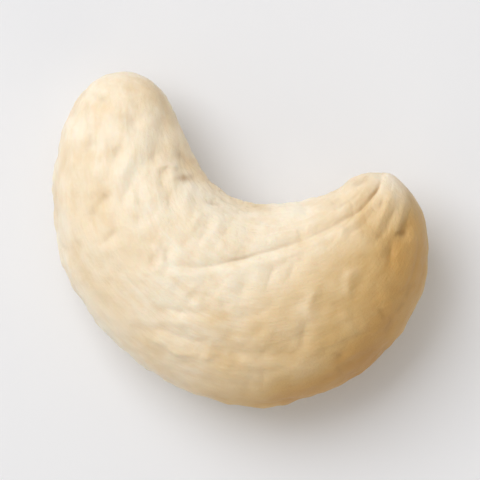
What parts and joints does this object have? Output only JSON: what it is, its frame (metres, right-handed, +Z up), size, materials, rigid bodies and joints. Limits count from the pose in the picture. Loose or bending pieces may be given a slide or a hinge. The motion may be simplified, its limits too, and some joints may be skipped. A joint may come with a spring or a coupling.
{
  "type": "cashew nut kernel",
  "caption": "Whole roasted cashew kernel, a kidney-shaped nut with a seam and small wrinkles, lying on its side.",
  "frame": {"origin": "middle of the base of the kernel's box, on the surface that it lies on", "axes": "+X from the thin lobe to the fat lobe along the kernel's length, +Y out of the open side of the curve, +Z up, through its thickness"},
  "size_m": [0.0246, 0.0172, 0.0093],
  "materials": {
    "kernel": "matte"
  },
  "bodies": {
    "root": {"kernel": "kernel"}
  },
  "joints": []
}
